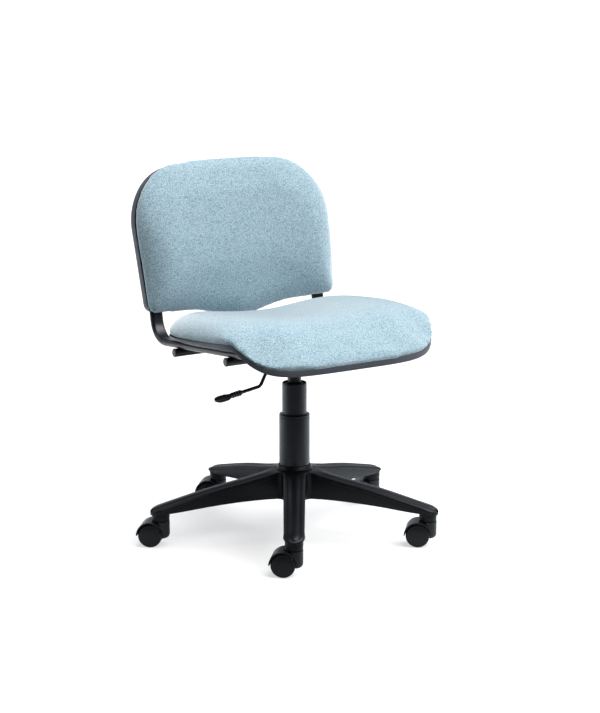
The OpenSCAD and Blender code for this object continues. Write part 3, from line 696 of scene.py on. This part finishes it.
def front_share(v):
    t = np.clip((60.0 - np.asarray(v, float)) / 200.0, 0, 1)
    return t * t * (3 - 2 * t)


def rim_h(v):
    """Height of the rim's top above the tubes; the rim gets taller towards the front."""
    t = np.clip((130.0 - np.asarray(v, float)) / 330.0, 0, 1)
    return EDGE_W + 5.6 + 8.4 * t * t


def shell_ring(inset, w):
    u, v = seat_outline_even(inset)
    if w > EDGE_W + 4:
        w = EDGE_W + 4 + (w - EDGE_W - 4) * (rim_h(v) - EDGE_W - 4) / 8.0
    return seat_to_world(np.stack([u, v, w - drop(v)], -1))


rim = [(30, EDGE_W + 3.0), (10, EDGE_W + 3.0), (4.0, EDGE_W + 3.6), (3.2, EDGE_W + 5), (3.0, EDGE_W + 11.2), (2.5, EDGE_W + 11.85),
       (1.6, EDGE_W + 12.0), (0.8, EDGE_W + 11.8), (0.25, EDGE_W + 11.2), (0.0, EDGE_W + 10.2), (0.0, EDGE_W + 2.0), (0.3, EDGE_W + 0.9),
       (1.1, EDGE_W + 0.2), (2.4, EDGE_W + 0.0), (12.5, EDGE_W - 0.2), (14.6, EDGE_W - 0.8), (15.6, EDGE_W - 2.0), (16.2, OVAL_T + 1.6),
       (17.0, OVAL_T + 0.5), (18.6, OVAL_T + 0.1), (30, OVAL_T), (70, OVAL_T), (120, OVAL_T), (149, OVAL_T)]
rings = [shell_ring(i, w) for i, w in rim]
v, f = rings_mesh([list(r) for r in rings], close_start=False, close_end=True)
pan = body_piece("seat_pan", v, f, SHELL, "seat_assembly", ["seat_shell"], sharp=50)

# -------------------------------------------------------------- seat cushion


def seat_top(u, v):
    """Height of the pad's upper surface away from its rolled edges, seat frame, mm."""
    hollow = 57.0 - 0.0293 * v + u * u / 1500.0
    lim = EDGE_W + 12.5 + CROWN
    k = 4.0
    m = -k * np.log(np.exp(-hollow / k) + np.exp(-lim / k))
    # the waterfall: rolls over towards the front
    t = np.clip((-15.0 - v) / 175.0, 0, 1.2)
    return m - top_drop(u, v) - (13.0 + 13.5 * np.clip(u / 225.0, -1, 1) ** 2) * t ** 1.7


def seat_pad_mesh(nrad=26):
    """Rings of the pad: tucked into the rim, out over it, round and into the top."""
    n = 224
    rings = []
    for inset, w in ((150, 25.5), (60, 25.5), (12, 25.5), (4.4, 26), (3.3, 28.5)):
        u, v = seat_outline_even(inset, n)
        rings.append(seat_to_world(np.stack([u, v, w - drop(v)], -1)))
    u, v = seat_outline_even(2.9, n)
    rings.append(seat_to_world(np.stack([u, v, rim_h(v) - 0.6 - drop(v)], -1)))
    u0, v0 = seat_outline_even(0.0, n)
    u9, v9 = seat_outline_even(60.0, n)
    nu, nv = (u0 - u9) / 60.0, (v0 - v9) / 60.0            # outward, per mm of inset
    nu0, nv0 = nu, nv
    k = np.exp(-0.5 * (np.arange(-18, 19) / 6.0) ** 2)
    k /= k.sum()
    nu, nv = (np.convolve(np.concatenate([q[-18:], q, q[:18]]), k, mode="valid") for q in (nu, nv))
    fs = front_share(v0)
    bulge, reach = 2.2 + 6.3 * fs, 66.0 + 14.0 * fs
    power = 0.93 - 0.05 * fs
    for ph in np.linspace(0.03, 1.0, nrad):
        ang = ph * math.pi / 2
        h = math.sin(ang) ** power
        d = reach * (1 - max(1e-9, math.cos(ang)) ** power) - bulge + (bulge + 2.2) * np.maximum(0.0, 1 - h / 0.40) ** 2
        m = min(1.0, ph * 2.2)
        mu, mv = nu0 * (1 - m) + nu * m, nv0 * (1 - m) + nv * m
        u, v = u0 - mu * d, v0 - mv * d
        base = rim_h(v) + 0.6 - drop(v)
        rings.append(seat_to_world(np.stack([u, v, base + (seat_top(u, v) - base) * h], -1)))
    ulast, vlast = u, v
    for t in np.linspace(0.12, 1, 12):
        ut, vt = seat_outline_even(148.0, n)
        u, v = ulast * (1 - t) + ut * t, vlast * (1 - t) + vt * t
        rings.append(seat_to_world(np.stack([u, v, seat_top(u, v)], -1)))
    return rings


rings = seat_pad_mesh()
# the middle: a strip down the centre line, bridged by shrinking rings towards it
last_u, last_v = seat_outline_even(148.0, 224)
for t in (0.8, 0.6, 0.4, 0.2, 0.02):
    u = last_u * t
    v = last_v
    rings.append(seat_to_world(np.stack([u, v, seat_top(u, v)], -1)))
v, f = rings_mesh([list(r) for r in rings], close_start=True, close_end=True)
seat_pad = mesh_obj("seat_pad", [np.array(p) * MM for p in v], f)

rings = [shell_ring(i, w) for i, w in ((140, 24), (12, 24), (10.6, 24.4), (10, 25.2), (10, 30.6), (10.6, 31.6), (12, 32), (140, 32))]
v, f = rings_mesh([list(r) for r in rings], close_start=True, close_end=True)
body_piece("seat_ply", v, f, PLY, "seat_assembly", ["seat_board"], sharp=40)

# --------------------------------------------------------------- back outline


def back_sdf(x, h, r_top=110.0, r_bot=18.0, belly=1.0):
    ax = np.abs(x)
    d_top = np.hypot(x, h - (BACK_TOP - 1400)) - 1400
    arc = np.hypot(x, h - (-22.6 + 860)) - 860
    flat = (-0.8 - 23.5 * np.exp(-(x / 76.0) ** 2)) - h      # low in the middle, level at the sides
    d_bot = arc * (1 - belly) + flat * belly
    wd = 223.0 + 6.5 * (h - 30) / 156.0
    d_side = (ax - wd) * math.cos(math.atan(5.5 / 156.0))

    def rmax(a, b, r):
        return np.minimum(np.maximum(a + r, b + r), 0) + np.hypot(np.maximum(a + r, 0), np.maximum(b + r, 0)) - r
    return rmax(rmax(d_top, d_side, r_top), d_bot, r_bot)


def back_outline(inset, n=224, centre=(0.0, 138.0), **radii):
    a = np.arange(n) * 2 * math.pi / n
    dx, dh = np.cos(a), np.sin(a)
    lo, hi = np.zeros(n), np.full(n, 330.0)
    for _ in range(40):
        m = (lo + hi) / 2
        out = back_sdf(centre[0] + dx * m, centre[1] + dh * m, **radii) > -inset
        hi, lo = np.where(out, m, hi), np.where(out, lo, m)
    return centre[0] + dx * lo, centre[1] + dh * lo


def back_outline_even(inset, n=224, **radii):
    x, h = back_outline(inset, 1440, **radii)
    x, h = np.append(x, x[0]), np.append(h, h[0])
    d = np.concatenate([[0], np.cumsum(np.hypot(np.diff(x), np.diff(h)))])
    q = np.linspace(0, d[-1], n, endpoint=False)
    return np.interp(q, d, x), np.interp(q, d, h)


def pad_outline(inset, n=224):
    """Points of the back pad's outline on fixed rays, so that the rings never twist.

    The corners get rounder and the belly of the lower edge fades towards the middle."""
    ex, eh = back_outline_even(0.0, n, r_top=116.0, r_bot=13.0, belly=1.0)
    a = np.arctan2(eh - 138.0, ex)
    dx, dh = np.cos(a), np.sin(a)
    g = np.maximum(0.0, inset)
    lo, hi = np.zeros(n), np.full(n, 330.0)
    for _ in range(40):
        m = (lo + hi) / 2
        out = back_sdf(dx * m, 138.0 + dh * m, 116.0 + 1.0 * g, 13.0 + 1.5 * g, 1.0) > -inset
        hi, lo = np.where(out, m, hi), np.where(out, lo, m)
    return dx * lo, 138.0 + dh * lo


def wrap(x, n):
    """Moves a point at depth n of the flat back onto the sideways-wrapped one."""
    r = WRAP_R + n
    return PART_N - WRAP_R + np.sqrt(np.maximum(r * r - x * x, 0))


def back_ring(inset, n):
    x, h = back_outline_even(inset)
    return back_to_world(np.stack([x, wrap(x, n), h], -1))


shell_prof = [(40, 14.5), (12, 14.5), (5, 13.8), (3.2, 12), (3.0, 3), (2.6, 0.6), (1.9, 0.05), (0.9, 0.0), (0.25, 0.5), (0.0, 1.6),
              (0.0, 12.5), (0.5, 15.5), (1.8, 18.2), (4.2, 20.6), (7.5, 22.4), (11.5, 23.5), (17, 24.0), (40, 24.2), (80, 24.3), (120, 24.3), (137, 24.3)]
rings = [back_ring(i, n) for i, n in shell_prof]
v, f = rings_mesh([list(r) for r in rings], close_start=False, close_end=True)
back_pan = body_piece("back_pan", v, f, SHELL, "seat_assembly", ["back_shell"], sharp=50)

# --------------------------------------------------------------- back cushion


BACK_IN = 58.0


def back_front(h):
    """Depth n of the pad's front face: fullest a third of the way up."""
    return -(38.0 + 12.5 * np.exp(-((h - 118) / 105.0) ** 2))


def back_over(x, h):
    """How far the pad stands out past the shell's edge."""
    t = np.clip((h - 165.0) / 60.0, 0, 1) * np.clip((np.abs(x) - 110.0) / 70.0, 0, 1)
    return 4.3 + 1.6 * t * t * (3 - 2 * t)


def back_pad_rings():
    n = 224
    rings = []
    for inset, dep in ((120, -1.5), (60, -1.5), (12, -1.5), (6.0, -1.8), (4.4, -3.0)):
        x, h = pad_outline(inset)
        rings.append(back_to_world(np.stack([x, wrap(x, dep), h], -1)))
    over = back_over(*pad_outline(0.0))
    for ph in np.linspace(0.04, 1.0, 30):
        ang = ph * math.pi / 2
        t = math.sin(ang) ** 0.88
        d = BACK_IN * (1 - max(0.0, math.cos(ang)) ** 0.88) - over + (over + 3.4) * max(0.0, 1 - t / 0.16) ** 2
        x, h = pad_outline(d)
        dep = -3.0 + (back_front(h) + 3.0) * t
        rings.append(back_to_world(np.stack([x, wrap(x, dep), h], -1)))
    x0, h0 = x, h
    for t in np.linspace(0.9, 0.04, 14):
        x, h = x0 * t, 138.0 + (h0 - 138.0) * t
        rings.append(back_to_world(np.stack([x, wrap(x, back_front(h)), h], -1)))
    return rings


rings = back_pad_rings()
v, f = rings_mesh([list(r) for r in rings], close_start=True, close_end=True)
back_pad = mesh_obj("back_pad", [np.array(p) * MM for p in v], f)

rings = [back_ring(i, n) for i, n in ((120, -8.5), (14, -8.5), (12.4, -8), (12, -7), (12, -2.6), (12.6, -1.8), (14, -1.6), (120, -1.6))]
v, f = rings_mesh([list(r) for r in rings], close_start=True, close_end=True)
body_piece("back_ply", v, f, PLY, "seat_assembly", ["back_board"], sharp=40)

# ------------------------------------------------- swelling of the two pads


def swell(ob, voxel, pressure, cap, pins, calm, passes):
    """Remesh, blow up with Cloth, cap each point's travel, keep the pinned underside in place."""
    sc = bpy.context.scene
    rm = ob.modifiers.new("remesh", "REMESH")
    rm.mode = "VOXEL"
    rm.voxel_size = voxel
    rm.use_smooth_shade = True
    deps = bpy.context.evaluated_depsgraph_get()
    me = bpy.data.meshes.new_from_object(ob.evaluated_get(deps))
    ob.modifiers.clear()
    old = ob.data
    ob.data = me
    bpy.data.meshes.remove(old)
    rest = np.zeros(len(me.vertices) * 3)
    me.vertices.foreach_get("co", rest)
    rest = rest.reshape(-1, 3)
    held = pins(rest)
    g = ob.vertex_groups.new(name="held")
    g.add([int(i) for i in np.nonzero(held)[0]], 1.0, "REPLACE")
    c = ob.modifiers.new("cloth", "CLOTH")
    s = c.settings
    s.quality = 4
    s.mass = 0.3
    s.tension_stiffness = 18
    s.compression_stiffness = 12
    s.shear_stiffness = 6
    s.bending_stiffness = 0.8
    s.use_pressure = True
    s.uniform_pressure_force = pressure
    s.effector_weights.gravity = 0
    s.vertex_group_mass = "held"
    s.pin_stiffness = 1
    c.collision_settings.use_collision = False
    sc.frame_start, sc.frame_end = 1, 20
    for fr in range(1, 21):
        sc.frame_set(fr)
    deps = bpy.context.evaluated_depsgraph_get()
    ev = ob.evaluated_get(deps).to_mesh()
    now = np.zeros(len(ev.vertices) * 3)
    ev.vertices.foreach_get("co", now)
    ob.evaluated_get(deps).to_mesh_clear()
    now = now.reshape(-1, 3)
    ob.modifiers.clear()
    sc.frame_set(1)
    d = now - rest
    ln = np.linalg.norm(d, axis=1)
    keep = cap * np.tanh(ln / cap)
    d *= (keep / np.maximum(ln, 1e-9))[:, None]
    rest = rest + d
    print("swell", ob.name, "moved mean %.2f max %.2f mm" % (ln.mean() * 1000, ln.max() * 1000))
    me.vertices.foreach_set("co", rest.ravel())
    me.update()
    me.polygons.foreach_set("use_smooth", [True] * len(me.polygons))
    w = calm(rest)
    g = ob.vertex_groups.new(name="face")
    for lo in range(1, 11):
        idx = np.nonzero((w > (lo - 0.5) / 10) & (w <= (lo + 0.5) / 10))[0]
        g.add([int(i) for i in idx], lo / 10.0, "REPLACE")
    sm = ob.modifiers.new("calm", "SMOOTH")
    sm.factor = 0.5
    sm.iterations = passes
    sm.vertex_group = "face"
    sm = ob.modifiers.new("settle", "SMOOTH")
    sm.factor = 0.5
    sm.iterations = 5
    sub = ob.modifiers.new("sub", "SUBSURF")
    sub.levels = sub.render_levels = 1
    return ob


def seat_pins(p):
    q = p.copy() * 1000
    c, s = math.cos(TILT), math.sin(TILT)
    y, z = q[:, 1], q[:, 2] - FRAME_Z
    v, w = y * c - z * s, y * s + z * c
    return w + drop(v) < EDGE_W + 14


def back_pins(p):
    q = p * 1000 - np.array((0, POST_Y, POST_Z))
    c, s = math.cos(BACK_TILT), math.sin(BACK_TILT)
    n = q[:, 1] * c - q[:, 2] * s
    return n > wrap(q[:, 0], -14.0)


def seat_calm(p):
    q = p * 1000
    c, s = math.cos(TILT), math.sin(TILT)
    y, z = q[:, 1], q[:, 2] - FRAME_Z
    v, w = y * c - z * s, y * s + z * c
    return np.clip((w + drop(v) - rim_h(v) - 9) / 16, 0, 1)


def back_calm(p):
    q = p * 1000 - np.array((0, POST_Y, POST_Z))
    c, s = math.cos(BACK_TILT), math.sin(BACK_TILT)
    n = q[:, 1] * c - q[:, 2] * s
    return np.clip((wrap(q[:, 0], -16.0) - n) / 12, 0, 1)


swell(seat_pad, 0.005, 3.0, 0.004, seat_pins, seat_calm, 22)
swell(back_pad, 0.005, 3.0, 0.004, back_pins, back_calm, 30)
for ob, nodes_ in ((seat_pad, ["seat_cushion"]), (back_pad, ["back_cushion"])):
    paint(ob, WOOL)
    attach(ob, "seat_assembly")
    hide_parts(*nodes_)

# ------------------------------------------------------------- lever handle

HB, HD = np.array((-87.5, 0, 315.6)), np.array((-0.98769, 0, -0.15643))
HU, HS = np.array((-0.15643, 0, 0.98769)), np.array((0, 1.0, 0))
ROLL = math.radians(12)
HU, HS = HU * math.cos(ROLL) - HS * math.sin(ROLL), HS * math.cos(ROLL) + HU * math.sin(ROLL)
HO = HB + HD * 0.0


def handle_pts(ring_yz, x):
    """Points across the handle at distance x along it: y sideways, z up."""
    return [HO + HD * (40 + x) + HS * y + HU * z for y, z in ring_yz]


def super_ring(a, b, p, zc=0.0, n=40, dish=0.0):
    out = []
    for k in range(n):
        t = 2 * math.pi * k / n
        c, s_ = math.cos(t), math.sin(t)
        y = a * math.copysign(abs(c) ** (2 / p), c)
        z = b * math.copysign(abs(s_) ** (2 / p), s_)
        if dish and z > 0:
            z -= dish * max(0.0, 1 - (y / (a * 0.86)) ** 2)
        out.append((y, z + zc))
    return out


rings = [handle_pts(super_ring(3.0, 3.0, 2), -1.2), handle_pts(super_ring(4.8, 4.8, 2), -0.8), handle_pts(super_ring(5.4, 5.4, 2), 0.4)]
for i in range(4):                                       # soft grip ribs
    x0 = 2 + 5.4 * i
    for dx, r in ((0, 5.3), (0.5, 5.9), (1.1, 6.2), (2.6, 6.2), (3.3, 5.9), (3.8, 5.3), (4.6, 5.2)):
        rings.append(handle_pts(super_ring(r, r * (0.97 - 0.012 * i), 2.1), x0 + dx))
for t in np.linspace(0.06, 1, 14):                       # widening to the flat oval
    x = 23.5 + 12.5 * t
    w = 5.6 + (11.8 - 5.6) * (3 * t * t - 2 * t ** 3)
    rings.append(handle_pts(super_ring(w, 5.2 + (2.6 - 5.2) * t ** 0.6, 2.1 + 1.6 * t, 0, dish=1.5 * t), x))
for x in np.linspace(38, 48, 5):
    rings.append(handle_pts(super_ring(12.0, 2.6, 3.7, 0, dish=1.7), x))
for t in np.linspace(0.08, 0.985, 16):                   # round end
    c = math.sqrt(max(0.0, 1 - t * t))
    rings.append(handle_pts(super_ring(max(0.7, 12.0 * c), 2.6 * (1 - 0.3 * t ** 3), 3.5, 0, dish=1.7 * c ** 0.5), 48 + 13.0 * t))
v, f = rings_mesh(rings, close_start=True, close_end=True)
body_piece("lever_grip", v, f, GRIP, "release_lever", ["lever_handle"], sharp=60)

# ---------------------------------------------------- hardware kept from CAD

for nm, wd in (("mechanism_plate", 0.7), ("taper_socket", 0.8), ("crossbars", 0.4), ("crossbar_caps", 0.5), ("side_tube_left", 0.4),
               ("side_tube_right", 0.4), ("tube_end_plugs", 0.6), ("lever_arm", 0.5), ("back_bolts", 0.3)):
    tidy(nm, wd, 40, 2)

# ------------------------------------------------------------ studio, camera

floor = mesh_obj("studio_floor", [(-40, -40, -0.0005), (40, -40, -0.0005), (40, 40, -0.0005), (-40, 40, -0.0005)], [(0, 1, 2, 3)], False)
fm, nt, b = new_mat("studio_white")
b.inputs["Base Color"].default_value = (0.44, 0.44, 0.44, 1)
b.inputs["Roughness"].default_value = 0.9
b.inputs["Emission Color"].default_value = (1, 1, 1, 1)
b.inputs["Emission Strength"].default_value = 0.56
paint(floor, fm)

bpy.context.scene.view_settings.view_transform = "Standard"
bpy.context.scene.view_settings.look = "None"
world = bpy.data.worlds.new("studio")
bpy.context.scene.world = world
world.use_nodes = True
wt = world.node_tree
bg = wt.nodes["Background"]
AWAY = (0.559, 0.829, 0.0)


def share_behind(nt, vec, lo, hi):
    """0 on the near side, 1 on the far side, from a position or a direction."""
    d = nt.nodes.new("ShaderNodeVectorMath")
    d.operation = "DOT_PRODUCT"
    d.inputs[1].default_value = AWAY
    nt.links.new(vec, d.inputs[0])
    r = nt.nodes.new("ShaderNodeMapRange")
    r.inputs["From Min"].default_value = lo
    r.inputs["From Max"].default_value = hi
    r.interpolation_type = "SMOOTHSTEP"
    nt.links.new(d.outputs["Value"], r.inputs["Value"])
    return r.outputs["Result"]


tc = wt.nodes.new("ShaderNodeTexCoord")
back_part = share_behind(wt, tc.outputs["Generated"], -0.35, 0.45)
glow = wt.nodes.new("ShaderNodeMapRange")
glow.inputs["To Min"].default_value = 0.035
glow.inputs["To Max"].default_value = 0.60
wt.links.new(back_part, glow.inputs["Value"])
lp = wt.nodes.new("ShaderNodeLightPath")
mixw = wt.nodes.new("ShaderNodeMix")
mixw.data_type = "FLOAT"
mixw.inputs[3].default_value = 1.0
wt.links.new(glow.outputs["Result"], mixw.inputs[2])
wt.links.new(lp.outputs["Is Camera Ray"], mixw.inputs[0])
wt.links.new(mixw.outputs[0], bg.inputs["Strength"])
tint = wt.nodes.new("ShaderNodeMix")
tint.data_type = "RGBA"
tint.inputs[6].default_value = (0.90, 0.96, 1.07, 1)
tint.inputs[7].default_value = (1, 1, 1, 1)
wt.links.new(lp.outputs["Is Camera Ray"], tint.inputs[0])
wt.links.new(tint.outputs[2], bg.inputs["Color"])

# the floor bounces little light back on the near side
nt = fm.node_tree
fd = nt.nodes.new("ShaderNodeBsdfDiffuse")
geo = nt.nodes.new("ShaderNodeNewGeometry")
fr = nt.nodes.new("ShaderNodeMapRange")
fr.inputs["To Min"].default_value = 0.12
fr.inputs["To Max"].default_value = 0.88
nt.links.new(share_behind(nt, geo.outputs["Position"], -0.75, 0.15), fr.inputs["Value"])
nt.links.new(mix_rgb(nt, fr.outputs["Result"], (0, 0, 0), (0.93, 0.98, 1.0)), fd.inputs["Color"])
flp = nt.nodes.new("ShaderNodeLightPath")
fmix = nt.nodes.new("ShaderNodeMixShader")
nt.links.new(flp.outputs["Is Camera Ray"], fmix.inputs[0])
nt.links.new(fd.outputs[0], fmix.inputs[1])
nt.links.new(b.outputs[0], fmix.inputs[2])
fout = [q for q in nt.nodes if q.bl_idname == "ShaderNodeOutputMaterial"][0]
nt.links.new(fmix.outputs[0], fout.inputs[0])


def area(name, loc, target, size, power, size_y=None, color=(1, 1, 1)):
    l = bpy.data.lights.new(name, "AREA")
    l.energy = power
    l.color = color
    l.shape = "RECTANGLE"
    l.size = size
    l.size_y = size_y or size
    ob = link(bpy.data.objects.new(name, l))
    ob.location = loc
    ob.rotation_euler = (Vector(target) - Vector(loc)).to_track_quat("-Z", "Y").to_euler()
    return ob


sun = bpy.data.lights.new("overhead", "SUN")
sun.energy = 6.1
sun.angle = math.radians(66)
so = link(bpy.data.objects.new("overhead", sun))
so.rotation_euler = (math.radians(19), math.radians(19), 0)
area("side_glow", (-2.0, 1.2, 1.5), (-0.2, 0.15, 0.55), 0.8, 9, 1.2).visible_camera = False
area("front_fill", (0.4, -2.9, 2.9), (0, 0, 0.5), 1.6, 6, 1.2).visible_camera = False

cam = bpy.data.cameras.new("camera")
cam.lens = 2005.0 * 36.0 / 713.0
cam.sensor_width = 36.0
cam.clip_start, cam.clip_end = 0.05, 100
co = link(bpy.data.objects.new("camera", cam))
co.location = (-2.1896, -3.2663, 1.1985)
co.rotation_euler = (math.radians(78.06), 0, math.radians(-34.0))
bpy.context.scene.camera = co
